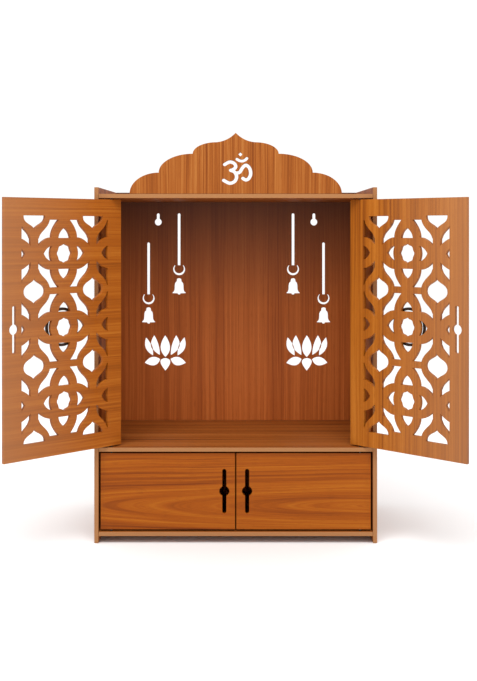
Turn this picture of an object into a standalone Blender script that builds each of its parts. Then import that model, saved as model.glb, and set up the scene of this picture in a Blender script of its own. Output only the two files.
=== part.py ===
# Household altar cabinet: an open shrine with two pierced doors over a cupboard with two plain doors
# Metres, +Z up, front towards -Y, origin on the floor at the centre of the box round the open cabinet
import math

import bmesh
import bpy
from mathutils import Matrix

# Body
CABINET_WIDTH = 0.406
CABINET_DEPTH = 0.228
SIDE_THICKNESS = 0.006
TOP_THICKNESS = 0.006
SHELF_THICKNESS = 0.006
BOTTOM_THICKNESS = 0.006
BACK_THICKNESS = 0.006
FOOT_HEIGHT = 0.0099
LOWER_CLEAR_HEIGHT = 0.1151
UPPER_CLEAR_HEIGHT = 0.358
GALLERY_HEIGHT = 0.0096
JOINT_GAP = 0.0003

# Crest, from its foot to its point, one half
CREST_THICKNESS = 0.006
LOBE_WIDTHS = (0.0418, 0.0489, 0.0337)
LOBE_HEIGHTS = (0.0303, 0.0271, 0.0165)
POINT_HALF_WIDTH = 0.0280
POINT_HEIGHT = 0.0135
LOBE_STEPS = 7
POINT_STEPS = 4

# Cut-out sign in the crest
SIGN_HEIGHT = 0.0475
SIGN_FOOT = 0.0135
SIGN_SHIFT = 0.0008
SIGN_STROKE = 0.0049
SIGN_STROKE_STEPS = 3

# Doors
DOOR_THICKNESS = 0.0055
DOOR_SETBACK = 0.0032
DOOR_SIDE_GAP = 0.0027
DOOR_MEETING_GAP = 0.0018
UPPER_DOOR_END_GAP = 0.002
LOWER_DOOR_END_GAP = 0.00275
UPPER_DOOR_OPEN_DEGREES = 136.4

# Pivot pins in the top and bottom edges of each door
PIVOT_INSET = 0.0153
PIN_DIAMETER = 0.003
PIN_CLEARANCE = 0.0003
PIN_IN_DOOR = 0.004
PIN_IN_BOARD = 0.0022
PIN_SIDES = 12

# Finger cut-outs in the doors
FINGER_SLOT_LENGTH = 0.064
FINGER_SLOT_WIDTH = 0.0058
FINGER_HOLE_DIAMETER = 0.0146
FINGER_INSET = 0.0155
FINGER_STEPS = 4

# Pierced lattice of the upper doors
LATTICE_FREE_MARGIN = 0.027
LATTICE_HINGE_MARGIN = 0.0235
LATTICE_TOP_MARGIN = 0.0242
LATTICE_BOTTOM_MARGIN = 0.0215
LATTICE_CENTRE_FROM_FREE_EDGE = 0.0956
LATTICE_ROWS = 3
LATTICE_OVERRUN = 0.001
CELL_WIDTH = 0.0966
CELL_POST = 0.0122
CELL_RAIL = 0.0090
FRAME_STRAND = 0.0080

# Shapes inside one lattice cell, as shares of half a cell
STAR_OUTER, STAR_INNER, STAR_POINTS = 0.258, 0.232, 8
PETAL_FOOT, PETAL_TIP, PETAL_HALF_WIDTH, PETAL_DENT = 0.42, 0.695, 0.205, 0.05
PETAL_BULGE = (0.18, 0.60)
OGEE_TIP, OGEE_BULGE = 0.36, 0.356
OGEE_NECK = (0.06, 0.20)
FRAME_TIP, FRAME_NECK = 0.50, (0.08, 0.27)
BRANCH_START, BRANCH_BEND, BRANCH_CUSP = (0.10, 1.0), (0.44, 0.68), (0.435, 0.435)
OGEE_STEPS = 4
BRANCH_STEPS = 3
PETAL_STEPS = 2

# Flat ring on the outer face of each upper door, round its middle star
RING_RADIUS = 0.025
RING_WIDTH = 0.004
RING_THICKNESS = 0.0025
RING_SIDES = 24

# Keyhole hangers in the back panel
KEYHOLE_SPACING = 0.2562
KEYHOLE_DROP = 0.0327
KEYHOLE_DIAMETER = 0.0113
KEYHOLE_SLOT_WIDTH = 0.0048
KEYHOLE_SLOT_RISE = 0.0143
KEYHOLE_STEPS = 7

# Hanging bells cut in the back panel: rod, open ring and bell
INNER_BELL_SPACING = 0.1876
OUTER_BELL_SPACING = 0.2880
INNER_ROD_DROP = 0.0184
OUTER_ROD_DROP = 0.0663
ROD_LENGTH = 0.0855
ROD_WIDTH = 0.0045
RING_DROP = 0.0915
BELL_RING_RADIUS = 0.0104
BELL_RING_STROKE = 0.0033
BELL_RING_TIP_DEGREES = 42.0
BELL_RING_STEPS = 6
BELL_DROP = 0.1068
BELL_HEIGHT = 0.027
BELL_HALF_WIDTH = 0.0108
BELL_PROFILE = ((0.0, 0.10), (0.04, 0.29), (0.13, 0.36), (0.20, 0.40), (0.27, 0.58), (0.42, 0.67),
                (0.68, 0.70), (0.80, 0.82), (0.87, 1.0), (0.915, 1.0), (0.925, 0.20), (1.0, 0.14))

# Lotus cut in the back panel, its petals as shares of its half width from its heart
LOTUS_SPACING = 0.2330
LOTUS_HEART_DROP = 0.2530
LOTUS_HALF_WIDTH = 0.034
LOTUS_PETAL_STEPS = 4
LOTUS_MIDDLE_PETAL = ((0.0, 1.00), (0.0, -0.06), (0.46, 0.36), (-0.46, 0.36))
LOTUS_FOOT_PETAL = ((0.0, -0.72), (0.0, -0.10), (0.48, -0.16), (-0.48, -0.16))
LOTUS_SIDE_PETALS = (
    ((-0.53, 1.00), (-0.26, 0.03), (-0.25, 0.55), (-0.96, 0.42)),
    ((-0.93, 0.90), (-0.59, 0.01), (-0.56, 0.52), (-1.14, 0.30)),
    ((-1.00, -0.34), (-0.25, -0.15), (-0.66, 0.14), (-0.42, -0.68)),
)

# Derived places
INNER_HALF_WIDTH = CABINET_WIDTH / 2 - SIDE_THICKNESS
BOTTOM_TOP = FOOT_HEIGHT + BOTTOM_THICKNESS
SHELF_UNDERSIDE = BOTTOM_TOP + LOWER_CLEAR_HEIGHT
SHELF_TOP = SHELF_UNDERSIDE + SHELF_THICKNESS
TOP_UNDERSIDE = SHELF_TOP + UPPER_CLEAR_HEIGHT
TOP_TOP = TOP_UNDERSIDE + TOP_THICKNESS
SIDE_HEIGHT = TOP_TOP + GALLERY_HEIGHT
CREST_FOOT = TOP_TOP + JOINT_GAP

LEAF_WIDTH = INNER_HALF_WIDTH - DOOR_SIDE_GAP - DOOR_MEETING_GAP / 2
LEAF_REACH = LEAF_WIDTH - PIVOT_INSET
PIVOT_X = INNER_HALF_WIDTH - DOOR_SIDE_GAP - PIVOT_INSET
PIVOT_SETBACK = DOOR_SETBACK + DOOR_THICKNESS / 2
OPEN_ANGLE = math.radians(UPPER_DOOR_OPEN_DEGREES)
FRONT_REACH = LEAF_REACH * math.sin(OPEN_ANGLE) - DOOR_THICKNESS / 2 * math.cos(OPEN_ANGLE) - PIVOT_SETBACK
FRONT_Y = (FRONT_REACH - CABINET_DEPTH) / 2
REAR_Y = FRONT_Y + CABINET_DEPTH
BOARD_REAR_Y = REAR_Y - BACK_THICKNESS - JOINT_GAP
PIVOT_Y = FRONT_Y + PIVOT_SETBACK

# Colours and finish: red, green, blue, roughness, metallic
VENEER = (0.42, 0.17, 0.05, 0.42, 0.0)
DOOR_VENEER = (0.46, 0.19, 0.06, 0.40, 0.0)
DARK_VENEER = (0.24, 0.09, 0.04, 0.45, 0.0)
CREST_VENEER = (0.50, 0.22, 0.07, 0.40, 0.0)
PIN_STEEL = (0.60, 0.60, 0.58, 0.30, 1.0)
RING_BRONZE = (0.06, 0.04, 0.03, 0.40, 0.6)


def clear_scene():
    """Remove every object that the scene starts with."""
    for thing in list(bpy.data.objects):
        bpy.data.objects.remove(thing)


def new_collection(name):
    """Make a collection and hang it in the scene."""
    made = bpy.data.collections.new(name)
    bpy.context.scene.collection.children.link(made)
    return made


def principled(name, finish):
    """Make a material from a colour, a roughness and a metallic value."""
    red, green, blue, roughness, metallic = finish
    material = bpy.data.materials.new(name)
    material.use_nodes = True
    shader = material.node_tree.nodes["Principled BSDF"]
    shader.inputs["Base Color"].default_value = (red, green, blue, 1.0)
    shader.inputs["Roughness"].default_value = roughness
    shader.inputs["Metallic"].default_value = metallic
    return material


def add_object(name, mesh, finish):
    """Put a mesh in the cabinet's collection with a material of its own."""
    thing = bpy.data.objects.new(name, mesh)
    mesh.materials.clear()
    mesh.materials.append(principled(name + "_finish", finish))
    CABINET.objects.link(thing)
    return thing


def board(name, low, high, finish):
    """A plain board between two corners."""
    size = [top - bottom for bottom, top in zip(low, high)]
    shape = bmesh.new()
    bmesh.ops.create_cube(shape, size=1.0, matrix=Matrix.Diagonal((*size, 1.0)))
    mesh = bpy.data.meshes.new(name)
    shape.to_mesh(mesh)
    shape.free()
    thing = add_object(name, mesh, finish)
    thing.location = [(bottom + top) / 2 for bottom, top in zip(low, high)]
    return thing


def flat_mesh(name, loops, thickness):
    """Fill the first loop, pierced by the others, and stand it up in the XZ plane."""
    outline = bpy.data.curves.new(name + "_outline", "CURVE")
    outline.dimensions = "2D"
    outline.fill_mode = "BOTH"
    outline.extrude = thickness / 2
    for loop in loops:
        spline = outline.splines.new("POLY")
        spline.points.add(len(loop) - 1)
        for point, (across, up) in zip(spline.points, loop):
            point.co = (across, up, 0.0, 1.0)
        spline.use_cyclic_u = True
    drawn = bpy.data.objects.new(name + "_outline", outline)
    bpy.context.scene.collection.objects.link(drawn)
    bpy.context.view_layer.update()
    seen = drawn.evaluated_get(bpy.context.evaluated_depsgraph_get())
    mesh = bpy.data.meshes.new_from_object(seen)
    mesh.name = name
    bpy.data.objects.remove(drawn)
    shape = bmesh.new()
    shape.from_mesh(mesh)
    bmesh.ops.remove_doubles(shape, verts=shape.verts, dist=0.00001)
    caps = [face for face in shape.faces if len({round(vert.co.z, 6) for vert in face.verts}) == 1]
    inner_edges = [edge for edge in shape.edges if all(face in caps for face in edge.link_faces)]
    bmesh.ops.beautify_fill(shape, faces=caps, edges=inner_edges, method="AREA")
    bmesh.ops.rotate(shape, verts=shape.verts, matrix=Matrix.Rotation(math.pi / 2, 3, "X"))
    bmesh.ops.recalc_face_normals(shape, faces=shape.faces)
    shape.to_mesh(mesh)
    shape.free()
    return mesh


def cylinder_mesh(name, radius, length, sides):
    """A closed upright cylinder about its own centre."""
    shape = bmesh.new()
    bmesh.ops.create_cone(shape, cap_ends=True, segments=sides, radius1=radius, radius2=radius, depth=length)
    mesh = bpy.data.meshes.new(name)
    shape.to_mesh(mesh)
    shape.free()
    return mesh


def cut(target, mesh, place=(0.0, 0.0, 0.0)):
    """Take a cutter's shape out of a piece; the cutter rides on the piece."""
    cutter = bpy.data.objects.new(mesh.name + "_cutter", mesh)
    CUTTERS.objects.link(cutter)
    cutter.parent = target
    cutter.location = place
    cutter.hide_render = True
    cutter.display_type = "WIRE"
    hole = target.modifiers.new(mesh.name, "BOOLEAN")
    hole.operation = "DIFFERENCE"
    hole.object = cutter


def curve_through(controls, steps):
    """Points on a Bezier curve of any order, both ends included."""
    found = []
    for step in range(steps + 1):
        part = step / steps
        level = list(controls)
        while len(level) > 1:
            level = [tuple(a + (b - a) * part for a, b in zip(p, q)) for p, q in zip(level, level[1:])]
        found.append(level[0])
    return found


def arc(centre, radius, start, end, steps):
    """Points on a circular arc, both ends included, angles in radians."""
    found = []
    for step in range(steps + 1):
        angle = start + (end - start) * step / steps
        found.append((centre[0] + radius * math.cos(angle), centre[1] + radius * math.sin(angle)))
    return found


def mirrored(loop, side):
    """A loop seen from the other side when side is -1."""
    return [(side * across, up) for across, up in loop]


def keep_inside(loop, axis, limit, sign):
    """Clip a loop to the side of a line where sign * value is at most sign * limit."""
    kept = []
    for here, after in zip(loop, loop[1:] + loop[:1]):
        inside = sign * here[axis] <= sign * limit
        inside_after = sign * after[axis] <= sign * limit
        if inside:
            kept.append(here)
        if inside != inside_after:
            part = (limit - here[axis]) / (after[axis] - here[axis])
            kept.append(tuple(a + (b - a) * part for a, b in zip(here, after)))
    return kept


def without_repeats(loop, smallest=0.0002):
    """Drop points that lie closer together than a cutter could make."""
    kept = []
    for point in loop:
        if not kept or math.dist(point, kept[-1]) > smallest:
            kept.append(point)
    if len(kept) > 1 and math.dist(kept[0], kept[-1]) <= smallest:
        kept.pop()
    return kept


def loop_area(loop):
    """Area of a loop, whichever way it runs."""
    total = sum(a[0] * b[1] - b[0] * a[1] for a, b in zip(loop, loop[1:] + loop[:1]))
    return abs(total) / 2


def star_hole():
    """Eight shallow points round the middle of a cell."""
    loop = []
    for corner in range(2 * STAR_POINTS):
        reach = STAR_INNER if corner % 2 else STAR_OUTER
        angle = math.pi * corner / STAR_POINTS
        loop.append((reach * math.cos(angle), reach * math.sin(angle)))
    return loop


def petal_hole(dent):
    """A round-sided triangle pointing away from the star, its foot dented or straight."""
    right = curve_through([(0.0, PETAL_TIP), PETAL_BULGE, (PETAL_HALF_WIDTH, PETAL_FOOT)], PETAL_STEPS)
    left = [(-across, up) for across, up in reversed(right[1:])]
    foot = [(0.0, PETAL_FOOT + dent)] if dent else []
    return right + foot + left


def ogee_quarter(tip, neck):
    """From the upper point of the ogee to its right-hand bulge."""
    return [(0.0, tip), neck, (OGEE_BULGE, OGEE_BULGE * 0.59), (OGEE_BULGE, 0.0)]


def ogee_hole():
    """The pointed hole at each corner of a cell."""
    quarter = curve_through(ogee_quarter(OGEE_TIP, OGEE_NECK), OGEE_STEPS)
    upper_left = [(-across, up) for across, up in reversed(quarter[1:])]
    lower_right = [(across, -up) for across, up in reversed(quarter[:-1])]
    lower_left = [(-across, -up) for across, up in quarter[1:-1]]
    return quarter + lower_right + lower_left + upper_left


def ogee_offset(strand):
    """The ogee's frame, drawn out to a longer point, in its lower left quarter about the cell's corner."""
    fine = curve_through(ogee_quarter(FRAME_TIP, FRAME_NECK), 2 * OGEE_STEPS)
    offset = []
    for index in range(len(fine) - 1, -1, -2):
        before, after = fine[max(index - 1, 0)], fine[min(index + 1, len(fine) - 1)]
        along = math.dist(before, after)
        normal = ((before[1] - after[1]) / along, (after[0] - before[0]) / along)
        offset.append((1.0 - fine[index][0] - strand * normal[0], 1.0 - fine[index][1] - strand * normal[1]))
    tip_turn = arc((1.0, 1.0 - FRAME_TIP), strand, math.radians(215), math.radians(270), 2)
    return offset + tip_turn


def diagonal_hole(post, rail, strand):
    """The long hole between a star's petals and the corner ogee, upper right quarter."""
    branch = curve_through([BRANCH_START, BRANCH_BEND, BRANCH_CUSP], BRANCH_STEPS)
    twin = [(up, across) for across, up in reversed(branch)]
    inner = branch + twin[1:]
    loop = ogee_offset(strand) + list(reversed(inner))
    loop = keep_inside(loop, 0, 1.0 - post, 1)
    return keep_inside(loop, 1, 1.0 - rail, 1)


def cell_holes(half_width, half_height):
    """All holes of one cell about its centre, in metres, with the ogees of its upper left corner."""
    half = (half_width + half_height) / 2
    diagonal = diagonal_hole(CELL_POST / 2 / half, CELL_RAIL / 2 / half, FRAME_STRAND / half)
    upright = petal_hole(0.0)
    dented = petal_hole(PETAL_DENT)
    loops = [star_hole(), upright, [(a, -b) for a, b in upright]]
    loops += [[(b, a) for a, b in dented], [(-b, a) for a, b in dented]]
    for across in (-1, 1):
        for up in (-1, 1):
            loops.append([(across * a, up * b) for a, b in diagonal])
    return [[(a * half_width, b * half_height) for a, b in loop] for loop in loops]


def lattice_holes(leaf_height):
    """Every hole of the lattice, clipped to its field, about the leaf's pivot and middle."""
    field_left = LEAF_REACH - LEAF_WIDTH + LATTICE_HINGE_MARGIN
    field_right = LEAF_REACH - LATTICE_FREE_MARGIN
    field_top = leaf_height / 2 - LATTICE_TOP_MARGIN
    field_bottom = LATTICE_BOTTOM_MARGIN - leaf_height / 2
    middle = (field_top + field_bottom) / 2
    centre = LEAF_REACH - LATTICE_CENTRE_FROM_FREE_EDGE
    half_width = CELL_WIDTH / 2
    half_height = ((field_top - field_bottom) / 2 - LATTICE_OVERRUN) / LATTICE_ROWS
    first = math.floor((field_left - centre) / CELL_WIDTH - 0.5)
    last = math.ceil((field_right - centre) / CELL_WIDTH + 0.5)
    ogee = [(a * half_width, b * half_height) for a, b in ogee_hole()]
    placed = []
    for column in range(first, last + 1):
        across = centre + column * CELL_WIDTH
        for row in range(LATTICE_ROWS):
            up = middle + (2 * row + 1 - LATTICE_ROWS) * half_height
            for loop in cell_holes(half_width, half_height):
                placed.append([(across + a, up + b) for a, b in loop])
        for row in range(LATTICE_ROWS + 1):
            up = middle + (2 * row - LATTICE_ROWS) * half_height
            placed.append([(across + half_width + a, up + b) for a, b in ogee])
    holes = []
    for loop in placed:
        for axis, limit, sign in ((0, field_left, -1), (0, field_right, 1), (1, field_top, 1), (1, field_bottom, -1)):
            loop = keep_inside(loop, axis, limit, sign)
        loop = without_repeats(loop)
        if len(loop) > 2 and loop_area(loop) > 0.000004:
            holes.append(loop)
    return holes


def finger_cut_out(across):
    """A round hole with a slot running up and down from it."""
    half_slot, hole = FINGER_SLOT_WIDTH / 2, FINGER_HOLE_DIAMETER / 2
    end = FINGER_SLOT_LENGTH / 2 - half_slot
    meet = math.asin(half_slot / hole)
    loop = arc((across, end), half_slot, 0.0, math.pi, FINGER_STEPS)
    loop += arc((across, 0.0), hole, math.pi / 2 + meet, 3 * math.pi / 2 - meet, 2 * FINGER_STEPS)
    loop += arc((across, -end), half_slot, math.pi, 2 * math.pi, FINGER_STEPS)
    loop += arc((across, 0.0), hole, meet - math.pi / 2, math.pi / 2 - meet, 2 * FINGER_STEPS)
    return loop


def make_door(name, side, height, middle, angle, pierced, finish):
    """A leaf about its pivot axis, with its cut-outs and the bores for its pins."""
    outline = [(LEAF_REACH, -height / 2), (LEAF_REACH, height / 2)]
    outline += [(LEAF_REACH - LEAF_WIDTH, height / 2), (LEAF_REACH - LEAF_WIDTH, -height / 2)]
    loops = [outline, finger_cut_out(LEAF_REACH - FINGER_INSET)]
    if pierced:
        loops += lattice_holes(height)
    loops = [mirrored(loop, -side) for loop in loops]
    door = add_object(name, flat_mesh(name, loops, DOOR_THICKNESS), finish)
    door.location = (side * PIVOT_X, PIVOT_Y, middle)
    door.rotation_euler = (0.0, 0.0, side * angle)
    depth = PIN_IN_DOOR + PIN_CLEARANCE
    for end, label in ((1, "top"), (-1, "bottom")):
        bore = cylinder_mesh(f"{name}_{label}_bore", PIN_DIAMETER / 2 + PIN_CLEARANCE, 2 * depth, PIN_SIDES)
        cut(door, bore, (0.0, 0.0, end * height / 2))
    return door


def make_pins(name, side, low, high, end_gap):
    """The two pins of one door, half in the door's edge and half in the board beyond it."""
    length = PIN_IN_BOARD + end_gap + PIN_IN_DOOR
    for end, face, label in ((1, high, "top"), (-1, low, "bottom")):
        mesh = cylinder_mesh(f"{name}_{label}", PIN_DIAMETER / 2, length, PIN_SIDES)
        pin = add_object(f"{name}_{label}", mesh, PIN_STEEL)
        mesh.shade_smooth()
        mesh.set_sharp_from_angle(angle=math.radians(40))
        pin.location = (side * PIVOT_X, PIVOT_Y, face + end * (PIN_IN_BOARD - length / 2))


def bore_board(target, faces):
    """Blind holes for the pins in a board, at both pivots and on each named face."""
    depth = PIN_IN_BOARD + PIN_CLEARANCE
    for face in faces:
        for side in (-1, 1):
            bore = cylinder_mesh(f"{target.name}_bore", PIN_DIAMETER / 2 + PIN_CLEARANCE, 2 * depth, PIN_SIDES)
            place = (side * PIVOT_X, PIVOT_Y, face)
            cut(target, bore, [a - b for a, b in zip(place, target.location)])


def make_ring(name, side, middle, angle):
    """The flat ring on the outer face of an upper door, about the middle star."""
    outer = arc((0.0, 0.0), RING_RADIUS + RING_WIDTH / 2, 0.0, 2 * math.pi, RING_SIDES)[:-1]
    inner = arc((0.0, 0.0), RING_RADIUS - RING_WIDTH / 2, 0.0, 2 * math.pi, RING_SIDES)[:-1]
    across = LEAF_REACH - LATTICE_CENTRE_FROM_FREE_EDGE
    proud = DOOR_THICKNESS / 2 + JOINT_GAP + RING_THICKNESS / 2
    mesh = flat_mesh(name, [outer, inner], RING_THICKNESS)
    mesh.transform(Matrix.Translation((-side * across, -proud, 0.0)))
    ring = add_object(name, mesh, RING_BRONZE)
    ring.location = (side * PIVOT_X, PIVOT_Y, middle)
    ring.rotation_euler = (0.0, 0.0, side * angle)


def crest_outline():
    """Three stepped lobes each side and a drawn-up point in the middle."""
    half = []
    across, up = -(sum(LOBE_WIDTHS) + POINT_HALF_WIDTH), 0.0
    for width, height in zip(LOBE_WIDTHS, LOBE_HEIGHTS):
        for step in range(LOBE_STEPS):
            angle = math.pi / 2 * step / LOBE_STEPS
            half.append((across + width * (1 - math.cos(angle)), up + height * math.sin(angle)))
        across, up = across + width, up + height
    bend = (-0.42 * POINT_HALF_WIDTH, up + 0.1 * POINT_HEIGHT)
    half += curve_through([(across, up), bend, (0.0, up + POINT_HEIGHT)], POINT_STEPS)
    return half + [(-a, b) for a, b in reversed(half[:-1])]


def spline_points(points, steps):
    """A smooth path through chosen points."""
    found = []
    padded = [points[0]] + list(points) + [points[-1]]
    for p0, p1, p2, p3 in zip(padded, padded[1:], padded[2:], padded[3:]):
        for step in range(steps):
            t = step / steps
            found.append(tuple(
                0.5 * (2 * b + (c - a) * t + (2 * a - 5 * b + 4 * c - d) * t * t + (3 * b - a - 3 * c + d) * t ** 3)
                for a, b, c, d in zip(p0, p1, p2, p3)))
    return found + [points[-1]]


def stroke_outline(points, width):
    """A ribbon of even width with round ends along a path."""
    path = spline_points(points, SIGN_STROKE_STEPS)
    left, right = [], []
    for index, point in enumerate(path):
        before, after = path[max(index - 1, 0)], path[min(index + 1, len(path) - 1)]
        along = math.dist(before, after)
        normal = ((before[1] - after[1]) / along * width / 2, (after[0] - before[0]) / along * width / 2)
        left.append((point[0] + normal[0], point[1] + normal[1]))
        right.append((point[0] - normal[0], point[1] - normal[1]))
    start = math.atan2(left[0][1] - path[0][1], left[0][0] - path[0][0])
    end = math.atan2(right[-1][1] - path[-1][1], right[-1][0] - path[-1][0])
    first_cap = arc(path[0], width / 2, start + math.pi, start, 4)[1:-1]
    last_cap = arc(path[-1], width / 2, end + math.pi, end, 4)[1:-1]
    return left + last_cap + list(reversed(right)) + first_cap


def sign_strokes():
    """The strokes of the sign: places are shares of its height, from its foot's middle."""
    bowls = [(-0.35, 0.60), (-0.20, 0.675), (-0.06, 0.63), (-0.02, 0.52), (-0.11, 0.44), (-0.17, 0.425)]
    lower = [(-0.17, 0.425), (-0.05, 0.37), (0.01, 0.23), (-0.05, 0.09), (-0.20, 0.035), (-0.38, 0.12)]
    tail = [(-0.02, 0.34), (0.10, 0.365), (0.19, 0.50), (0.29, 0.58), (0.40, 0.49), (0.435, 0.32),
            (0.38, 0.18), (0.29, 0.135), (0.20, 0.18)]
    crescent = [(0.02, 0.76), (0.10, 0.715), (0.19, 0.705), (0.27, 0.735), (0.32, 0.785)]
    return [(bowls, 1.0), (lower, 1.0), (tail, 1.0), (crescent, 0.85)]


def make_crest():
    """The crest board with the sign cut through it."""
    crest = add_object("crest", flat_mesh("crest", [crest_outline()], CREST_THICKNESS), CREST_VENEER)
    crest.location = (0.0, FRONT_Y + CREST_THICKNESS / 2, CREST_FOOT)
    through = 2 * CREST_THICKNESS
    foot = (SIGN_SHIFT, 0.0, SIGN_FOOT)
    for index, (points, share) in enumerate(sign_strokes()):
        points = [(a * SIGN_HEIGHT, b * SIGN_HEIGHT) for a, b in points]
        outline = stroke_outline(points, share * SIGN_STROKE)
        cut(crest, flat_mesh(f"sign_stroke_{index}", [outline], through), foot)
    reach = 0.62 * SIGN_STROKE
    dot = arc((0.125 * SIGN_HEIGHT, 0.905 * SIGN_HEIGHT), reach, 0.0, 2 * math.pi, 4)[:-1]
    cut(crest, flat_mesh("sign_dot", [dot], through), foot)


def keyhole(across, up):
    """A round hole with a narrower slot above it."""
    half_slot, hole = KEYHOLE_SLOT_WIDTH / 2, KEYHOLE_DIAMETER / 2
    meet = math.asin(half_slot / hole)
    loop = arc((across, up), hole, math.pi / 2 + meet, 5 * math.pi / 2 - meet, KEYHOLE_STEPS)
    return loop + arc((across, up + KEYHOLE_SLOT_RISE - half_slot), half_slot, 0.0, math.pi, 4)


def hanging_bell(across, top):
    """A rod, an open ring under it and a bell under that, as three loops."""
    half_rod = ROD_WIDTH / 2
    rod = arc((across, top - half_rod), half_rod, 0.0, math.pi, 3)
    rod += [(across - half_rod, top - ROD_LENGTH), (across + half_rod, top - ROD_LENGTH)]
    centre = (across, top - RING_DROP)
    lift = math.radians(BELL_RING_TIP_DEGREES)
    middle = BELL_RING_RADIUS - BELL_RING_STROKE / 2
    ring = []
    for sign in (1, -1):
        for step in range(BELL_RING_STEPS + 1):
            angle = math.pi - lift + (math.pi + 2 * lift) * step / BELL_RING_STEPS
            if sign < 0:
                angle = 3 * math.pi - angle
            taper = 0.35 + 0.65 * math.sin(math.pi * step / BELL_RING_STEPS)
            reach = middle + sign * taper * BELL_RING_STROKE / 2
            ring.append((centre[0] + reach * math.cos(angle), centre[1] + reach * math.sin(angle)))
    bell_top = top - BELL_DROP
    right = [(across + BELL_HALF_WIDTH * wide, bell_top - BELL_HEIGHT * down) for down, wide in BELL_PROFILE]
    left = [(2 * across - a, b) for a, b in reversed(right)]
    return [rod, ring, right + left]


def lotus(across, up):
    """Eight petals about the lotus's heart, each two curved edges between two tips."""
    petals = [LOTUS_MIDDLE_PETAL, LOTUS_FOOT_PETAL]
    for petal in LOTUS_SIDE_PETALS:
        petals += [petal, tuple((-a, b) for a, b in petal)]
    loops = []
    for tip, foot, near, far in petals:
        edge = curve_through([tip, near, foot], LOTUS_PETAL_STEPS)
        back = curve_through([foot, far, tip], LOTUS_PETAL_STEPS)
        loop = edge[:-1] + back[:-1]
        loops.append([(across + LOTUS_HALF_WIDTH * a, up + LOTUS_HALF_WIDTH * b) for a, b in loop])
    return loops


def make_back():
    """The back panel with its keyholes, hanging bells and lotuses."""
    half = INNER_HALF_WIDTH - JOINT_GAP
    height = SIDE_HEIGHT - FOOT_HEIGHT
    loops = [[(-half, 0.0), (half, 0.0), (half, height), (-half, height)]]
    ceiling = TOP_UNDERSIDE - FOOT_HEIGHT
    for side in (-1, 1):
        loops.append(keyhole(side * KEYHOLE_SPACING / 2, ceiling - KEYHOLE_DROP))
        loops += hanging_bell(side * INNER_BELL_SPACING / 2, ceiling - INNER_ROD_DROP)
        loops += hanging_bell(side * OUTER_BELL_SPACING / 2, ceiling - OUTER_ROD_DROP)
        loops += lotus(side * LOTUS_SPACING / 2, ceiling - LOTUS_HEART_DROP)
    loops = [without_repeats(loop) for loop in loops]
    back = add_object("back_panel", flat_mesh("back_panel", loops, BACK_THICKNESS), DARK_VENEER)
    back.location = (0.0, REAR_Y - BACK_THICKNESS / 2, FOOT_HEIGHT)


def make_body():
    """Sides, top, shelf and bottom, with the bores that the door pins turn in."""
    for side, word in ((-1, "left"), (1, "right")):
        outer, inner = side * CABINET_WIDTH / 2, side * INNER_HALF_WIDTH
        low = (min(outer, inner), FRONT_Y, 0.0)
        high = (max(outer, inner), REAR_Y, SIDE_HEIGHT)
        board(f"side_panel_{word}", low, high, VENEER)
    half = INNER_HALF_WIDTH - JOINT_GAP
    top = board("top_board", (-half, FRONT_Y, TOP_UNDERSIDE), (half, BOARD_REAR_Y, TOP_TOP), VENEER)
    shelf = board("shelf", (-half, FRONT_Y, SHELF_UNDERSIDE), (half, BOARD_REAR_Y, SHELF_TOP), VENEER)
    bottom = board("bottom_board", (-half, FRONT_Y, FOOT_HEIGHT), (half, BOARD_REAR_Y, BOTTOM_TOP), VENEER)
    bore_board(top, [TOP_UNDERSIDE])
    bore_board(shelf, [SHELF_TOP, SHELF_UNDERSIDE])
    bore_board(bottom, [BOTTOM_TOP])


def make_doors():
    """Two pierced doors, open, over two plain doors, closed."""
    upper_height = UPPER_CLEAR_HEIGHT - 2 * UPPER_DOOR_END_GAP
    upper_middle = (SHELF_TOP + TOP_UNDERSIDE) / 2
    lower_height = LOWER_CLEAR_HEIGHT - 2 * LOWER_DOOR_END_GAP
    lower_middle = (BOTTOM_TOP + SHELF_UNDERSIDE) / 2
    for side, word in ((-1, "left"), (1, "right")):
        make_door(f"upper_door_{word}", side, upper_height, upper_middle, OPEN_ANGLE, True, DOOR_VENEER)
        star_middle = upper_middle + (LATTICE_BOTTOM_MARGIN - LATTICE_TOP_MARGIN) / 2
        make_ring(f"upper_door_ring_{word}", side, star_middle, OPEN_ANGLE)
        make_pins(f"upper_pin_{word}", side, SHELF_TOP, TOP_UNDERSIDE, UPPER_DOOR_END_GAP)
        make_door(f"lower_door_{word}", side, lower_height, lower_middle, 0.0, False, DOOR_VENEER)
        make_pins(f"lower_pin_{word}", side, BOTTOM_TOP, SHELF_UNDERSIDE, LOWER_DOOR_END_GAP)


clear_scene()
CABINET = new_collection("household_altar_cabinet")
CUTTERS = new_collection("cutters")
make_body()
make_back()
make_crest()
make_doors()
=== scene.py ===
# Household altar cabinet in teak-coloured veneered board, its pierced doors standing open, on a pale floor.
import math

import bmesh
import bpy
from mathutils import Matrix, Vector


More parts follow.
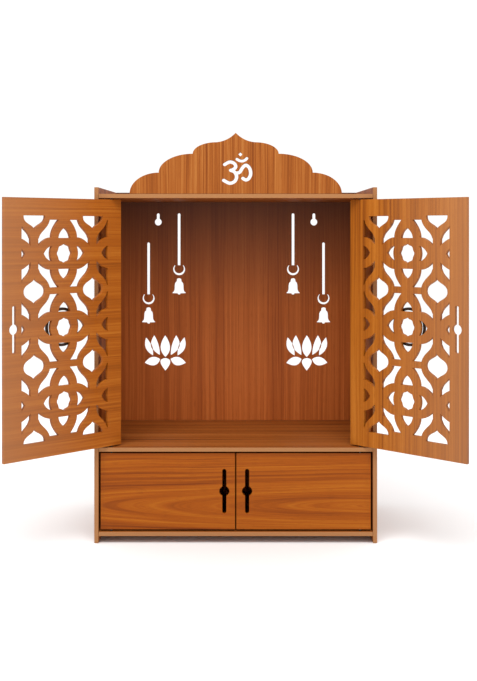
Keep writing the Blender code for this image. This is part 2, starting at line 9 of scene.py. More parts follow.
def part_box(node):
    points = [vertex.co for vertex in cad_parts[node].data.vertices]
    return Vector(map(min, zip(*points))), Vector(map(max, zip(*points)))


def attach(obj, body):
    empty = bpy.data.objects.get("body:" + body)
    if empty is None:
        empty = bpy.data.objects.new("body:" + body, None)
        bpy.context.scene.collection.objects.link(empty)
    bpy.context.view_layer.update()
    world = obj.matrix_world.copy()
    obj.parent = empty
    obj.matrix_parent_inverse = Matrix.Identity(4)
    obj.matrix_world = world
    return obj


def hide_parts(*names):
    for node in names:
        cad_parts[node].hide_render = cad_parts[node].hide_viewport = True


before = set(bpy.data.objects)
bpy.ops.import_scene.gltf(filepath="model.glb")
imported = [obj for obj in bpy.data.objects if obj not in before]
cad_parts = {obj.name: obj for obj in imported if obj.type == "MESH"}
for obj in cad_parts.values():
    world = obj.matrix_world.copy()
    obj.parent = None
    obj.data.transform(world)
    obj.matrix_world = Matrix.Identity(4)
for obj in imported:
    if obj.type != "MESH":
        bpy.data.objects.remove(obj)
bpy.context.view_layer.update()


# The camera stands level, a metre and a half before the cabinet and a little below its top. Its picture is
# shifted down instead of tilted, so that the uprights stay upright.
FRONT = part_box("side_panel_left")[0][1]
CAMERA_DISTANCE, CAMERA_HEIGHT, CAMERA_SIDE = 1.520, 0.449, 0.004
SENSOR_HEIGHT, LENS_LENGTH, PICTURE_SHIFT = 36.0, 56.0, -0.1621
camera = bpy.data.objects.new("camera", bpy.data.cameras.new("camera"))
bpy.context.scene.collection.objects.link(camera)
camera.location = (CAMERA_SIDE, FRONT - CAMERA_DISTANCE, CAMERA_HEIGHT)
camera.rotation_euler = (math.pi / 2, 0.0, 0.0)
camera.data.sensor_fit = "VERTICAL"
camera.data.sensor_height = SENSOR_HEIGHT
camera.data.lens = LENS_LENGTH
camera.data.shift_y = PICTURE_SHIFT
bpy.context.scene.camera = camera
bpy.context.scene.view_settings.view_transform = "Standard"


# The studio: a pale seamless floor, white all round, and one broad lamp above and before the cabinet.
SURROUND_STRENGTH, FLOOR_RADIUS, FLOOR_GAP = 1.05, 9.0, 0.0005
FLOOR_COLOUR, FLOOR_ROUGHNESS = (0.97, 0.97, 0.97, 1.0), 0.6
world = bpy.data.worlds.new("studio")
bpy.context.scene.world = world
world.use_nodes = True
world.node_tree.nodes["Background"].inputs["Color"].default_value = (1.0, 1.0, 1.0, 1.0)
world.node_tree.nodes["Background"].inputs["Strength"].default_value = SURROUND_STRENGTH


def lamp(name, place, aim, size, watts):
    """A soft rectangular lamp pointed at a place."""
    light = bpy.data.lights.new(name, "AREA")
    light.shape, light.size, light.size_y, light.energy = "RECTANGLE", size[0], size[1], watts
    stand = bpy.data.objects.new(name, light)
    bpy.context.scene.collection.objects.link(stand)
    stand.location = place
    stand.rotation_euler = (Vector(aim) - Vector(place)).to_track_quat("-Z", "Y").to_euler()


lamp("overhead_softbox", place=(-0.20, -1.05, 1.90), aim=(0.0, 0.1, 0.25), size=(1.4, 0.8), watts=26.0)

floor_mesh = bpy.data.meshes.new("floor")
shape = bmesh.new()
bmesh.ops.create_circle(shape, cap_ends=True, segments=64, radius=FLOOR_RADIUS)
shape.to_mesh(floor_mesh)
shape.free()
floor = bpy.data.objects.new("floor", floor_mesh)
bpy.context.scene.collection.objects.link(floor)
floor.location.z = -FLOOR_GAP
floor_paint = bpy.data.materials.new("floor_paint")
floor_paint.use_nodes = True
floor_paint.node_tree.nodes["Principled BSDF"].inputs["Base Color"].default_value = FLOOR_COLOUR
floor_paint.node_tree.nodes["Principled BSDF"].inputs["Roughness"].default_value = FLOOR_ROUGHNESS
floor_mesh.materials.append(floor_paint)


# Side panels, top, shelf and bottom: 6 mm board, faced on both sides with straight-grained teak veneer and
# lipped along the edges in a paler strip. They are butted together, with the arrises just eased.
class Wire:
    """One output in a shader's tree, used in plain sums."""

    def __init__(self, tree, socket=None):
        self.tree, self.socket = tree, socket

    def node(self, kind, settings=(), values=(), out=0):
        """Add a node of a kind, with its settings, ramp stops among them, and its values or links."""
        made = self.tree.nodes.new(kind)
        for name, value in dict(settings).items():
            if name == "stops":
                ramp = made.color_ramp
                while len(ramp.elements) < len(value):
                    ramp.elements.new(0.5)
                for stop, (place, colour) in zip(ramp.elements, value):
                    stop.position, stop.color = place, colour
            else:
                setattr(made, name, value)
        for name, value in dict(values).items():
            if isinstance(value, Wire):
                self.tree.links.new(value.socket, made.inputs[name])
            else:
                made.inputs[name].default_value = value
        return Wire(self.tree, made.outputs[out])

    def maths(self, operation, first, second=0.0):
        return self.node("ShaderNodeMath", {"operation": operation}, {0: first, 1: second})

    def __add__(self, other):
        return self.maths("ADD", self, other)

    def __radd__(self, other):
        return self.maths("ADD", other, self)

    def __sub__(self, other):
        return self.maths("SUBTRACT", self, other)

    def __rsub__(self, other):
        return self.maths("SUBTRACT", other, self)

    def __mul__(self, other):
        return self.maths("MULTIPLY", self, other)

    def __rmul__(self, other):
        return self.maths("MULTIPLY", other, self)

    def __truediv__(self, other):
        return self.maths("DIVIDE", self, other)

    def __pow__(self, other):
        return self.maths("POWER", self, other)

    def __lt__(self, other):
        return self.maths("LESS_THAN", self, other)

    def __gt__(self, other):
        return self.maths("GREATER_THAN", self, other)

    def __abs__(self):
        return self.maths("ABSOLUTE", self)


def tint(red, green, blue):
    """A colour as the eye reads it, 0 to 255, turned into light."""
    light = [(part / 255 / 12.92) if part < 11 else ((part / 255 + 0.055) / 1.055) ** 2.4
             for part in (red, green, blue)]
    return (*light, 1.0)


def blend(wire, share, first, second):
    """One colour laid over another by a share."""
    settings = {"data_type": "RGBA", "clamp_factor": True}
    return wire.node("ShaderNodeMix", settings, {0: share, 6: first, 7: second}, out=2)


# The grain, counted to the metre across it: broad bands, fine lines and short dashes. The sway is in metres.
BANDS, LINES, DASHES, SWAY = 55.0, 330.0, 1500.0, 0.014
BAND_WEIGHT, LINE_WEIGHT = 0.75, 1.05
PORES_ABOVE, PORE_SHARE = 0.66, 0.35
SATIN, SATIN_SPREAD, SPECULAR_LEVEL = 0.42, 0.16, 0.14


def veneer(name, axes, tones, heart=None, shift=(0.0, 0.0, 0.0), rim=None, seed=0.0, streak=1.0, painted_light=()):
    """Teak veneer. axes names the directions along the grain, across it and through the board.

    heart says where the lines arch, along and across, and how slender the arch is. rim colours the edges.
    Each painted-light entry lays a painted shade or a painted light over the face on one side in Y, growing
    between two distances along an axis.
    """
    material = bpy.data.materials.new(name)
    material.use_nodes = True
    tree = material.node_tree
    wire = Wire(tree)
    place = wire.node("ShaderNodeTexCoord", out="Object")
    parts = {axis: wire.node("ShaderNodeSeparateXYZ", {}, {0: place}, out=axis) + move
             for axis, move in zip("XYZ", shift)}
    along, across, deep = (parts[axis] for axis in axes)

    def grain(*where, detail=3.0, roughness=0.55):
        spot = wire.node("ShaderNodeCombineXYZ", {}, dict(enumerate(where)))
        return wire.node("ShaderNodeTexNoise", {}, {"Vector": spot, "Scale": 1.0, "Detail": detail,
                                                    "Roughness": roughness})

    sway = grain(along * 2.2, across * 9.0, deep * 4.0 + seed, detail=2.0) - 0.5
    ring = across + sway * SWAY
    if heart:
        off, reach = ring - heart[1], (along - heart[0]) * heart[2]
        ring = (off * off + reach * reach) ** 0.5
    bands = grain(ring * BANDS, along * 0.9, deep * 5.0 + seed, detail=2.5)
    lines = grain(ring * LINES, along * 2.4, deep * 9.0 + seed, detail=3.0, roughness=0.7)
    dashes = grain(across * DASHES, along * 55.0, deep * 60.0 + seed, detail=1.0)
    tone = 0.5 + (bands - 0.5) * (BAND_WEIGHT * streak) + (lines - 0.5) * (LINE_WEIGHT * streak)
    dark, middle, light = tones
    stops = [(0.27, dark), (0.50, middle), (0.73, light)]
    face = wire.node("ShaderNodeValToRGB", {"stops": stops}, {0: tone})
    pores = dashes > PORES_ABOVE
    face = blend(wire, pores * PORE_SHARE, face, dark)
    # Painted light and painted shade: each entry lightens or darkens one face towards one end, in place of the
    # lamp's fall-off and a cast shadow.
    for axis, start, end, painted_tone, share, side in painted_light:
        painted_share = (abs(parts[axis]) - start) * (parts["Y"] * side > 0.0) * (share / (end - start))
        face = blend(wire, painted_share, face, painted_tone)
    if rim:
        facing = wire.node("ShaderNodeNewGeometry", out="Normal")
        edge = abs(wire.node("ShaderNodeSeparateXYZ", {}, {0: facing}, out=axes[2])) < 0.5
        face = blend(wire, edge, face, rim)
    relief = {"Strength": 0.25, "Distance": 0.0002, "Height": lines - pores * 0.5}
    bump = wire.node("ShaderNodeBump", {}, relief)
    shader = tree.nodes["Principled BSDF"]
    tree.links.new(face.socket, shader.inputs["Base Color"])
    tree.links.new((SATIN + lines * SATIN_SPREAD).socket, shader.inputs["Roughness"])
    shader.inputs["Specular IOR Level"].default_value = SPECULAR_LEVEL
    tree.links.new(bump.socket, shader.inputs["Normal"])
    return material


def ease(thing, width):
    """Round every sharp edge of a board by a small width."""
    weld = thing.modifiers.new("weld", "WELD")
    weld.merge_threshold = 0.00001
    bevel = thing.modifiers.new("arris", "BEVEL")
    bevel.width, bevel.segments, bevel.limit_method, bevel.angle_limit = width, 2, "ANGLE", math.radians(50)
    bevel.harden_normals = True


BODY_TONES = (tint(106, 53, 17), tint(150, 82, 30), tint(174, 104, 48))
LIPPING = tint(158, 109, 68)
BOARD_ARRIS = 0.0004
for node, axes, seed in (("side_panel_left", "ZYX", 0.0), ("side_panel_right", "ZYX", 2.0),
                         ("top_board", "XYZ", 4.0), ("shelf", "XYZ", 6.0), ("bottom_board", "XYZ", 8.0)):
    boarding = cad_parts[node]
    boarding.data.materials.clear()
    boarding.data.materials.append(veneer(node + "_veneer", axes, BODY_TONES, rim=LIPPING, seed=seed))
    ease(boarding, BOARD_ARRIS)


# Back panel: one 6 mm board between the sides, its grain upright, with keyholes to hang by and a pair of
# lotuses under four hanging bells, all cut right through.
def cut_board(name, outline, holes, thickness, materials, arris=0.0003, rim=None):
    """A flat board standing in the XZ plane, pierced and eased.

    Its faces take the first material, its cut edges the second, and edges on the rim's four lines the third.
    """
    drawing = bpy.data.curves.new(name, "CURVE")
    drawing.dimensions, drawing.fill_mode = "2D", "BOTH"
    drawing.extrude, drawing.bevel_depth = thickness / 2 - arris, arris
    drawing.bevel_resolution, drawing.offset = 1, -arris
    for loop in [outline, *holes]:
        spline = drawing.splines.new("POLY")
        spline.points.add(len(loop) - 1)
        for point, (across, up) in zip(spline.points, loop):
            point.co = (across, up, 0.0, 1.0)
        spline.use_cyclic_u = True
    drawn = bpy.data.objects.new(name, drawing)
    bpy.context.scene.collection.objects.link(drawn)
    bpy.context.view_layer.update()
    mesh = bpy.data.meshes.new_from_object(drawn.evaluated_get(bpy.context.evaluated_depsgraph_get()))
    bpy.data.objects.remove(drawn)
    mesh.transform(Matrix.Rotation(math.pi / 2, 4, "X"))
    shape = bmesh.new()
    shape.from_mesh(mesh)
    bmesh.ops.remove_doubles(shape, verts=shape.verts, dist=0.00001)
    bmesh.ops.recalc_face_normals(shape, faces=shape.faces)
    for face in shape.faces:
        face.material_index = 0
        if abs(face.normal.y) < 0.4:
            middle = face.calc_center_median()
            on_rim = rim and (min(abs(middle.x - rim[0]), abs(middle.x - rim[1])) < 0.0005
                              or min(abs(middle.z - rim[2]), abs(middle.z - rim[3])) < 0.0005)
            face.material_index = 2 if on_rim else 1
    shape.to_mesh(mesh)
    shape.free()
    mesh.name = name
    mesh.materials.clear()
    for material in materials:
        mesh.materials.append(material)
    mesh.set_sharp_from_angle(angle=math.radians(32))
    for polygon in mesh.polygons:
        polygon.use_smooth = abs(polygon.normal.y) < 0.99
    piece = bpy.data.objects.new(name, mesh)
    bpy.context.scene.collection.objects.link(piece)
    return piece


def arc(centre, radius, start, end, steps):
    """Points on a circular arc, both ends included, angles in radians."""
    angles = [start + (end - start) * step / steps for step in range(steps + 1)]
    return [(centre[0] + radius * math.cos(a), centre[1] + radius * math.sin(a)) for a in angles]


def curve_through(controls, steps):
    """Points on a Bezier curve of any order, both ends included."""
    found = []
    for step in range(steps + 1):
        part, level = step / steps, list(controls)
        while len(level) > 1:
            level = [tuple(a + (b - a) * part for a, b in zip(*pair)) for pair in zip(level, level[1:])]
        found.append(level[0])
    return found


def raw_edge(name, colour, rough=0.75):
    """The bare edge of a cut board: pressed fibre, slightly mottled."""
    material = bpy.data.materials.new(name)
    material.use_nodes = True
    wire = Wire(material.node_tree)
    place = wire.node("ShaderNodeTexCoord", out="Object")
    mottle = wire.node("ShaderNodeTexNoise", {}, {"Vector": place, "Scale": 900.0, "Detail": 3.0})
    deeper = tuple(c * 0.7 for c in colour[:3]) + (1.0,)
    shader = material.node_tree.nodes["Principled BSDF"]
    shaded = blend(wire, mottle, deeper, colour)
    material.node_tree.links.new(shaded.socket, shader.inputs["Base Color"])
    shader.inputs["Roughness"].default_value = rough
    return material


CUT_EDGE = raw_edge("cut_edge", tint(120, 72, 44))
LIPPED_EDGE = raw_edge("lipped_edge", tint(188, 136, 92), 0.5)
back_low, back_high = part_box("back_panel")
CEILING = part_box("top_board")[0][2] - back_low[2]
KEYHOLE_RADIUS, KEYHOLE_HALF_SLOT, KEYHOLE_RISE = 0.00565, 0.0024, 0.0143
KEYHOLE_ACROSS, KEYHOLE_DROP = 0.1281, 0.0327
ROD_HALF_WIDTH, ROD_LENGTH = 0.00225, 0.0855
BELL_RING_DROP, BELL_RING_RADIUS, BELL_RING_HALF_BAND = 0.0915, 0.00875, 0.00165
BELL_RING_MOUTH, BELL_RING_STEPS = math.radians(42.0), 24
BELL_HALF_WIDTH, BELL_DROP, BELL_HEIGHT = 0.0108, 0.1068, 0.027
INNER_BELL, OUTER_BELL = (0.0938, 0.0184), (0.1440, 0.0663)
LOTUS_ACROSS, LOTUS_DROP, LOTUS_SIZE, PETAL_STEPS = 0.1165, 0.2530, 0.034, 14


def keyhole(across, up):
    """A round hole for a screw's head with a narrower slot above it."""
    meet = math.asin(KEYHOLE_HALF_SLOT / KEYHOLE_RADIUS)
    loop = arc((across, up), KEYHOLE_RADIUS, math.pi / 2 + meet, 5 * math.pi / 2 - meet, 28)
    return loop + arc((across, up + KEYHOLE_RISE - KEYHOLE_HALF_SLOT), KEYHOLE_HALF_SLOT, 0.0, math.pi, 10)


def hanging_bell(across, top):
    """A rod, an open ring under it and a bell under that."""
    rod = arc((across, top - ROD_HALF_WIDTH), ROD_HALF_WIDTH, 0.0, math.pi, 10)
    rod += [(across - ROD_HALF_WIDTH, top - ROD_LENGTH), (across + ROD_HALF_WIDTH, top - ROD_LENGTH)]
    centre, ring = (across, top - BELL_RING_DROP), []
    for sign in (1, -1):
        for step in range(BELL_RING_STEPS + 1):
            sweep = (math.pi + 2 * BELL_RING_MOUTH) * step / BELL_RING_STEPS
            angle = math.pi - BELL_RING_MOUTH + sweep
            angle = angle if sign > 0 else 3 * math.pi - angle
            taper = 0.35 + 0.65 * math.sin(math.pi * step / BELL_RING_STEPS)
            reach = BELL_RING_RADIUS + sign * taper * BELL_RING_HALF_BAND
            ring.append((centre[0] + reach * math.cos(angle), centre[1] + reach * math.sin(angle)))
    profile = ((0.0, 0.06), (0.012, 0.19), (0.04, 0.30), (0.09, 0.35), (0.14, 0.36), (0.19, 0.38),
               (0.22, 0.45), (0.27, 0.57), (0.34, 0.635), (0.42, 0.665), (0.55, 0.68), (0.68, 0.70),
               (0.76, 0.76), (0.82, 0.85), (0.87, 1.0), (0.90, 1.02), (0.915, 1.0), (0.925, 0.22),
               (0.965, 0.20), (0.99, 0.12), (1.0, 0.0))
    right = [(across + BELL_HALF_WIDTH * wide, top - BELL_DROP - BELL_HEIGHT * down)
             for down, wide in profile]
    left = [(2 * across - a, b) for a, b in reversed(right[:-1])]
    return [rod, ring, right + left]


# Each petal: its tip, its foot, and the point that pulls each of its two flanks out, in lotus sizes.
LOTUS_PETALS = [((0.0, 1.00), (0.0, -0.06), (0.46, 0.36), (-0.46, 0.36)),
                ((0.0, -0.72), (0.0, -0.10), (0.48, -0.16), (-0.48, -0.16))]
for petal in (((-0.53, 1.00), (-0.26, 0.03), (-0.25, 0.55), (-0.96, 0.42)),
              ((-0.93, 0.90), (-0.59, 0.01), (-0.56, 0.52), (-1.14, 0.30)),
              ((-1.00, -0.34), (-0.25, -0.15), (-0.66, 0.14), (-0.42, -0.68))):
    LOTUS_PETALS += [petal, tuple((-a, b) for a, b in petal)]
back_holes = []
for side in (-1, 1):
    back_holes.append(keyhole(side * KEYHOLE_ACROSS, CEILING - KEYHOLE_DROP))
    for apart, drop in (INNER_BELL, OUTER_BELL):
        back_holes += hanging_bell(side * apart, CEILING - drop)
    for tip, foot, near, far in LOTUS_PETALS:
        loop = curve_through([tip, near, foot], PETAL_STEPS)[:-1]
        loop += curve_through([foot, far, tip], PETAL_STEPS)[:-1]
        back_holes.append([(side * LOTUS_ACROSS + LOTUS_SIZE * a, CEILING - LOTUS_DROP + LOTUS_SIZE * b)
                           for a, b in loop])
half, height = back_high[0], back_high[2] - back_low[2]
BACK_TONES = (tint(146, 70, 24), tint(182, 95, 38), tint(206, 116, 54))
# Painted shade: the back's front face darkens towards its top, standing in for the shadow that the top board
# casts into the shrine.
BACK_PAINTED_SHADE = [("Z", 0.31, 0.485, tint(70, 46, 38), 0.85, -1.0)]
back_face = veneer("back_veneer", "ZXY", BACK_TONES, seed=11.0, streak=0.8, painted_light=BACK_PAINTED_SHADE)
back_outline = [(-half, 0.0), (half, 0.0), (half, height), (-half, height)]
back = cut_board("pierced_back", back_outline, back_holes, back_high[1] - back_low[1],
                 [back_face, CUT_EDGE, LIPPED_EDGE], rim=(-half, half, 0.0, height))
back.location = (0.0, (back_low[1] + back_high[1]) / 2, back_low[2])
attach(back, "cabinet")
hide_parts("back_panel")


# Crest: a board of three stepped lobes a side drawn up to a point, standing on the top's front edge, with the
# traditional sign sawn through its middle.
LOBES, LOBE_STEPS = ((0.0418, 0.0303), (0.0489, 0.0271), (0.0337, 0.0165)), 24
POINT_WIDTH, POINT_RISE, POINT_STEPS = 0.0280, 0.0135, 14
crest_low, crest_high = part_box("crest")
half_crest, across, up = [], -(sum(width for width, _ in LOBES) + POINT_WIDTH), 0.0
for width, rise in LOBES:
    for step in range(LOBE_STEPS):
        angle = math.pi / 2 * step / LOBE_STEPS
        half_crest.append((across + width * (1 - math.cos(angle)), up + rise * math.sin(angle)))
    across, up = across + width, up + rise
point = [(across, up), (-0.42 * POINT_WIDTH, up + 0.1 * POINT_RISE), (0.0, up + POINT_RISE)]
half_crest += curve_through(point, POINT_STEPS)
crest_outline = half_crest + [(-a, b) for a, b in reversed(half_crest[:-1])]
CREST_TONES = (tint(117, 56, 11), tint(148, 80, 25), tint(168, 104, 46))
crest = cut_board("lobed_crest", crest_outline, [], crest_high[1] - crest_low[1],
                  [veneer("crest_veneer", "ZXY", CREST_TONES, seed=17.0, streak=1.25), CUT_EDGE])
crest.location = (0.0, (crest_low[1] + crest_high[1]) / 2, crest_low[2])


def smooth_path(points):
    """A smooth path through given points, in eight steps from each to the next."""
    padded = [points[0], *points, points[-1]]
    path = []
    for four in zip(padded, padded[1:], padded[2:], padded[3:]):
        for t in (step / 8 for step in range(8)):
            path.append(tuple(0.5 * (2 * b + (c - a) * t + (2 * a - 5 * b + 4 * c - d) * t * t
                                     + (3 * b - a - 3 * c + d) * t ** 3) for a, b, c, d in zip(*four)))
    return path + [points[-1]]


def ribbon(points, width):
    """A stroke of even width with round ends along a smooth path."""
    path = smooth_path(points)
    sides = {1: [], -1: []}
    for index, spot in enumerate(path):
        before, after = path[max(index - 1, 0)], path[min(index + 1, len(path) - 1)]
        span = math.dist(before, after)
        onward = ((after[0] - before[0]) / span, (after[1] - before[1]) / span)
        for sign, row in sides.items():
            beside = (spot[0] - sign * onward[1] * width / 2, spot[1] + sign * onward[0] * width / 2)
            last = row[-1] if row else None
            if not row or (beside[0] - last[0]) * onward[0] + (beside[1] - last[1]) * onward[1] > 0.00005:
                row.append(beside)
    first = math.atan2(sides[1][0][1] - path[0][1], sides[1][0][0] - path[0][0])
    last = math.atan2(sides[-1][-1][1] - path[-1][1], sides[-1][-1][0] - path[-1][0])
    return (sides[1] + arc(path[-1], width / 2, last + math.pi, last, 10)[1:-1] + sides[-1][::-1]
            + arc(path[0], width / 2, first + math.pi, first, 10)[1:-1])


SIGN_HEIGHT, SIGN_FOOT, SIGN_SHIFT, SIGN_STROKE = 0.0475, 0.0135, 0.0008, 0.0049
SAW_DEPTH = 0.02
# Each stroke: the points that it passes, in sign heights, and its width as a share of the full stroke's.
strokes = [([(-0.35, 0.60), (-0.20, 0.675), (-0.06, 0.63), (-0.02, 0.52), (-0.11, 0.44), (-0.17, 0.425)], 1.0),
           ([(-0.17, 0.425), (-0.05, 0.37), (0.01, 0.23), (-0.05, 0.09), (-0.20, 0.035), (-0.38, 0.12)], 1.0),
           ([(-0.02, 0.34), (0.10, 0.365), (0.19, 0.50), (0.29, 0.58), (0.40, 0.49), (0.435, 0.32),
             (0.38, 0.18), (0.29, 0.135), (0.20, 0.18)], 1.0),
           ([(0.02, 0.76), (0.10, 0.715), (0.19, 0.705), (0.27, 0.735), (0.32, 0.785)], 0.85)]
cutters = [ribbon([(SIGN_HEIGHT * a, SIGN_HEIGHT * b) for a, b in points], SIGN_STROKE * share)
           for points, share in strokes]
dot = (0.125 * SIGN_HEIGHT, 0.905 * SIGN_HEIGHT)
cutters.append(arc(dot, 0.62 * SIGN_STROKE, 0.0, 2 * math.pi, 4)[:-1])
for index, loop in enumerate(cutters):
    loop = [(a + SIGN_SHIFT, b + SIGN_FOOT) for a, b in loop]
    saw = cut_board(f"sign_cutter_{index}", loop, [], SAW_DEPTH, [CUT_EDGE, CUT_EDGE], arris=0.0)
    saw.location = crest.location
    kerf = crest.modifiers.new("kerf", "BOOLEAN")
    kerf.operation, kerf.object, kerf.solver = "DIFFERENCE", saw, "EXACT"
    kerf.material_mode = "TRANSFER"
    bpy.context.view_layer.update()
    sawn = bpy.data.meshes.new_from_object(crest.evaluated_get(bpy.context.evaluated_depsgraph_get()))
    crest.modifiers.clear()
    crest.data = sawn
    bpy.data.objects.remove(saw)
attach(crest, "cabinet")
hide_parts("crest")


# Lattice doors: each a single leaf of thin board, pierced with a jali of eight-lobed stars between ogee
# openings, and turning on pins near its hinge edge. The left leaf's grain runs across it, the right one's up.
LEAF_WIDTH, LEAF_REACH, DOOR_BOARD = 0.1934, 0.1781, 0.0055
LEAF_HEIGHT, DOOR_OPEN = 0.354, 136.4
CELL_WIDTH, ROWS = 0.0966, 3
HINGE_FIELD, FREE_FIELD, TOP_FIELD, BOTTOM_FIELD, FIELD_SLACK = 0.0235, 0.027, 0.0242, 0.0215, 0.001
STAR_FROM_FREE_EDGE = 0.0956
SHORTEST_EDGE, SMALLEST_HOLE = 0.0003, 0.000004
HALF_WIDTH = CELL_WIDTH / 2
FIELD_TOP, FIELD_BOTTOM = LEAF_HEIGHT / 2 - TOP_FIELD, BOTTOM_FIELD - LEAF_HEIGHT / 2
STAR_UP = (FIELD_TOP + FIELD_BOTTOM) / 2
HALF_HEIGHT = ((FIELD_TOP - FIELD_BOTTOM) / 2 - FIELD_SLACK) / ROWS
HALF_CELL = (HALF_WIDTH + HALF_HEIGHT) / 2


def trim(loop, axis, limit, sign):
    """Cut a loop off square at the lattice's border."""
    kept = []
    for here, after in zip(loop, loop[1:] + loop[:1]):
        inside, inside_after = sign * here[axis] <= sign * limit, sign * after[axis] <= sign * limit
        if inside:
            kept.append(here)
        if inside != inside_after:
            part = (limit - here[axis]) / (after[axis] - here[axis])
            kept.append(tuple(a + (b - a) * part for a, b in zip(here, after)))
    return kept


# The shapes of one cell, in half cells from its middle, where a star stands.
STAR_RADIUS, STAR_WAVE, STAR_LOBES, STAR_STEPS = 0.246, 0.011, 8, 64
OGEE_TIP, OGEE_BULGE, FRAME_TIP, FRAME_NECK = 0.36, 0.356, 0.50, (0.08, 0.27)
STRAND, POST, RAIL = 0.0080 / HALF_CELL, 0.0061 / HALF_CELL, 0.0045 / HALF_CELL
star = []
for angle in (2 * math.pi * step / STAR_STEPS for step in range(STAR_STEPS)):
    reach = STAR_RADIUS + STAR_WAVE * math.cos(STAR_LOBES * angle)
    star.append((reach * math.cos(angle), reach * math.sin(angle)))
flank = curve_through([(0.0, 0.695), (0.18, 0.60), (0.205, 0.42)], 8)
upright_petal = flank + [(-a, b) for a, b in reversed(flank[1:])]
foot = curve_through([(0.205, 0.42), (0.0, 0.52), (-0.205, 0.42)], 8)
dented_petal = flank[:-1] + foot + [(-a, b) for a, b in reversed(flank[1:-1])]
quarter = curve_through([(0.0, OGEE_TIP), (0.06, 0.20), (OGEE_BULGE, 0.21), (OGEE_BULGE, 0.0)], 14)
ogee = (quarter + [(a, -b) for a, b in reversed(quarter[:-1])] + [(-a, -b) for a, b in quarter[1:-1]]
        + [(-a, b) for a, b in reversed(quarter[1:])])
drawn_out = curve_through([(0.0, FRAME_TIP), FRAME_NECK, (OGEE_BULGE, 0.21), (OGEE_BULGE, 0.0)], 14)
beside_ogee = []
for index in range(len(drawn_out) - 1, -1, -1):
    before, after = drawn_out[max(index - 1, 0)], drawn_out[min(index + 1, len(drawn_out) - 1)]
    span = math.dist(before, after)
    beside_ogee.append((1.0 - drawn_out[index][0] - STRAND * (before[1] - after[1]) / span,
                        1.0 - drawn_out[index][1] - STRAND * (after[0] - before[0]) / span))
beside_ogee += arc((1.0, FRAME_TIP), STRAND, math.radians(215), math.radians(270), 4)
branch = curve_through([(0.10, 1.0), (0.44, 0.68), (0.435, 0.435)], 10)
beside_star = branch + [(b, a) for a, b in reversed(branch)][1:]
arm = trim(trim(beside_ogee + beside_star[::-1], 0, 1.0 - POST, 1), 1, 1.0 - RAIL, 1)
cell = [star, upright_petal, [(a, -b) for a, b in upright_petal], [(b, a) for a, b in dented_petal],
        [(-b, a) for a, b in dented_petal]]
cell += [[(wide * a, high * b) for a, b in arm] for wide in (-1, 1) for high in (-1, 1)]
field = (LEAF_REACH - LEAF_WIDTH + HINGE_FIELD, LEAF_REACH - FREE_FIELD)
star_across = LEAF_REACH - STAR_FROM_FREE_EDGE
placed = []
for column in range(-2, 3):
    across = star_across + column * CELL_WIDTH
    for row in (-1, 0, 1):
        placed += [[(across + HALF_WIDTH * a, STAR_UP + HALF_HEIGHT * (2 * row + b)) for a, b in loop]
                   for loop in cell]
    for row in (-3, -1, 1, 3):
        placed.append([(across + HALF_WIDTH * (1 + a), STAR_UP + HALF_HEIGHT * (row + b)) for a, b in ogee])
lattice = []
for loop in placed:
    for axis, limit, sign in ((0, field[0], -1), (0, field[1], 1), (1, FIELD_TOP, 1), (1, FIELD_BOTTOM, -1)):
        loop = trim(loop, axis, limit, sign) if loop else loop
    kept = []
    for spot in loop:
        if not kept or math.dist(spot, kept[-1]) > SHORTEST_EDGE:
            kept.append(spot)
    if len(kept) > 2 and math.dist(kept[0], kept[-1]) <= SHORTEST_EDGE:
        kept.pop()
    area = abs(sum(a[0] * b[1] - b[0] * a[1] for a, b in zip(kept, kept[1:] + kept[:1]))) / 2
    if area > SMALLEST_HOLE:
        lattice.append(kept)

FINGER_REACH, FINGER_HALF_SLOT, FINGER_HOLE, FINGER_INSET = 0.032, 0.0029, 0.0073, 0.0155


def finger_cut(across):
    """The finger cut-out: a round hole with a slot running up and down from it."""
    end, meet = FINGER_REACH - FINGER_HALF_SLOT, math.asin(FINGER_HALF_SLOT / FINGER_HOLE)
    return (arc((across, end), FINGER_HALF_SLOT, 0.0, math.pi, 12)
            + arc((across, 0.0), FINGER_HOLE, math.pi / 2 + meet, 3 * math.pi / 2 - meet, 18)
            + arc((across, -end), FINGER_HALF_SLOT, math.pi, 2 * math.pi, 12)
            + arc((across, 0.0), FINGER_HOLE, meet - math.pi / 2, math.pi / 2 - meet, 18))


def pivot_of(door):
    """The middle of a door's turning line, from its own box and its top pin's."""
    low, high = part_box(door)
    pin_low, pin_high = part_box(door.replace("door", "pin") + "_top")
    return ((pin_low[0] + pin_high[0]) / 2, (pin_low[1] + pin_high[1]) / 2, (low[2] + high[2]) / 2)


def hang_leaf(name, side, node, height, holes, face, turn):
    """Make a leaf about its pins, hang it on its pivot and turn it to where it rests."""
    outline = [(LEAF_REACH, -height / 2), (LEAF_REACH, height / 2), (LEAF_REACH - LEAF_WIDTH, height / 2),
               (LEAF_REACH - LEAF_WIDTH, -height / 2)]
    loops = [[(-side * a, b) for a, b in loop] for loop in [outline, *holes]]
    ends = sorted(-side * a for a in (LEAF_REACH, LEAF_REACH - LEAF_WIDTH))
    leaf = cut_board(name, loops[0], loops[1:], DOOR_BOARD, [face, CUT_EDGE, LIPPED_EDGE],
                     rim=(*ends, -height / 2, height / 2))
    turned = Matrix.Rotation(side * math.radians(turn), 4, "Z")
    leaf.matrix_world = Matrix.Translation(pivot_of(node)) @ turned
    return leaf


DOOR_TONES = {"left": (tint(128, 64, 8), tint(154, 80, 12), tint(172, 100, 28)),
              "right": (tint(118, 57, 6), tint(156, 85, 14), tint(176, 105, 32))}
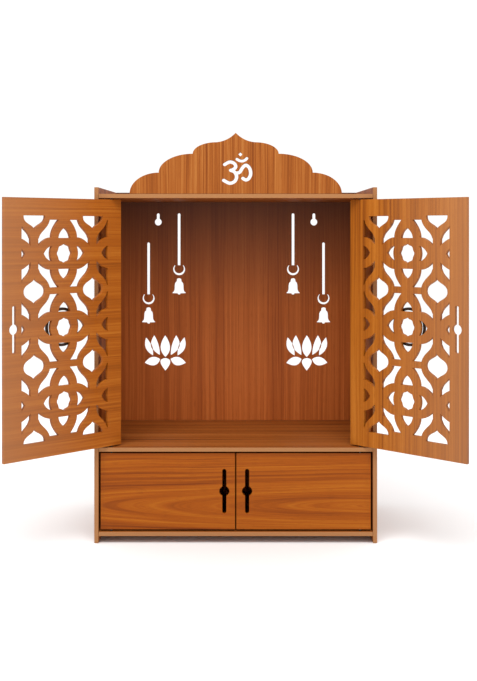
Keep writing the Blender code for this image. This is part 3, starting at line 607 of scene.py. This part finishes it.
# Painted light: the inner face of each lattice leaf grows paler towards its free end, where the turned leaf
# faces the lamp.
DOOR_PAINTED_LIGHT = [("X", 0.03, 0.17, tint(162, 112, 76), 0.55, 1.0)]
for word, side, axes in (("left", -1, "XZY"), ("right", 1, "ZXY")):
    face = veneer(f"lattice_door_{word}_veneer", axes, DOOR_TONES[word], seed=23.0 + side, painted_light=DOOR_PAINTED_LIGHT)
    leaf = hang_leaf(f"lattice_door_{word}", side, f"upper_door_{word}", LEAF_HEIGHT,
                     lattice + [finger_cut(LEAF_REACH - FINGER_INSET)], face, DOOR_OPEN)
    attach(leaf, f"upper_{word}")
    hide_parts(f"upper_door_{word}")


# Cupboard doors: two plain leaves of the same thin board, cut from one length, so that the veneer's arched
# figure runs across both. Each turns on pins near its outer end, and is opened by a finger in its cut-out.
CUPBOARD_HEIGHT = 0.1096
CUPBOARD_TONES = (tint(110, 47, 2), tint(147, 72, 4), tint(167, 93, 16))
for word, side in (("left", -1), ("right", 1)):
    node = f"lower_door_{word}"
    face = veneer(f"cupboard_door_{word}_veneer", "XZY", CUPBOARD_TONES, heart=(0.25, -0.022, 0.058),
                  shift=(pivot_of(node)[0], 0.0, 0.0), seed=31.0, streak=0.95)
    leaf = hang_leaf(f"cupboard_door_{word}", side, node, CUPBOARD_HEIGHT,
                     [finger_cut(LEAF_REACH - FINGER_INSET)], face, 0.0)
    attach(leaf, f"lower_{word}")
    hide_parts(node)


# Pins: eight short pins of turned steel, one in the upper and one in the lower end of each door, with their
# arrises eased. They turn in blind holes in the boards above and below.
def metal(name, colour, rough, shine=1.0):
    """Metal with fine turning marks."""
    material = bpy.data.materials.new(name)
    material.use_nodes = True
    wire = Wire(material.node_tree)
    place = wire.node("ShaderNodeTexCoord", out="Object")
    marks = wire.node("ShaderNodeTexNoise", {}, {"Vector": place, "Scale": 700.0, "Detail": 3.0})
    shader = material.node_tree.nodes["Principled BSDF"]
    shaded = blend(wire, marks, tuple(c * 0.75 for c in colour[:3]) + (1.0,), colour)
    material.node_tree.links.new(shaded.socket, shader.inputs["Base Color"])
    material.node_tree.links.new((rough + marks * 0.2).socket, shader.inputs["Roughness"])
    shader.inputs["Metallic"].default_value = shine
    return material


PIN_ARRIS = 0.0002
pin_steel = metal("pin_steel", tint(74, 70, 66), 0.35)
for level in ("upper", "lower"):
    for word in ("left", "right"):
        for end in ("top", "bottom"):
            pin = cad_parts[f"{level}_pin_{word}_{end}"]
            pin.data.materials.clear()
            pin.data.materials.append(pin_steel)
            ease(pin, PIN_ARRIS)


# Rings: a flat ring of dark bronze on the outer face of each lattice door, round its middle star, with its
# arrises eased. It is fixed flat on the leaf and shows through the lattice while the door stands open.
RING_STEPS, RING_GAP = 96, 0.0003
RING_PROFILE = ((0.0230, 0.0), (0.0230, 0.0020), (0.0234, 0.0025), (0.0266, 0.0025), (0.0270, 0.0020),
                (0.0270, 0.0))
bronze = metal("ring_bronze", tint(62, 46, 36), 0.3, 0.8)
for word, side in (("left", -1), ("right", 1)):
    mesh = bpy.data.meshes.new(f"bronze_ring_{word}")
    shape = bmesh.new()
    rows = []
    for radius, out in RING_PROFILE:
        rows.append([shape.verts.new((radius * math.cos(a), -out, radius * math.sin(a)))
                     for a in (2 * math.pi * step / RING_STEPS for step in range(RING_STEPS))])
    for first, second in zip(rows, rows[1:] + rows[:1]):
        for step in range(RING_STEPS):
            after = (step + 1) % RING_STEPS
            shape.faces.new((first[step], first[after], second[after], second[step]))
    bmesh.ops.recalc_face_normals(shape, faces=shape.faces)
    for face in shape.faces:
        face.smooth = True
    shape.to_mesh(mesh)
    shape.free()
    mesh.set_sharp_from_angle(angle=math.radians(50))
    mesh.materials.append(bronze)
    ring = bpy.data.objects.new(f"bronze_ring_{word}", mesh)
    bpy.context.scene.collection.objects.link(ring)
    proud = Matrix.Translation((-side * star_across, -DOOR_BOARD / 2 - RING_GAP, STAR_UP))
    turned = Matrix.Rotation(side * math.radians(DOOR_OPEN), 4, "Z")
    ring.matrix_world = Matrix.Translation(pivot_of(f"upper_door_{word}")) @ turned @ proud
    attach(ring, f"upper_{word}")
    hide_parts(f"upper_door_ring_{word}")


bpy.context.view_layer.update()
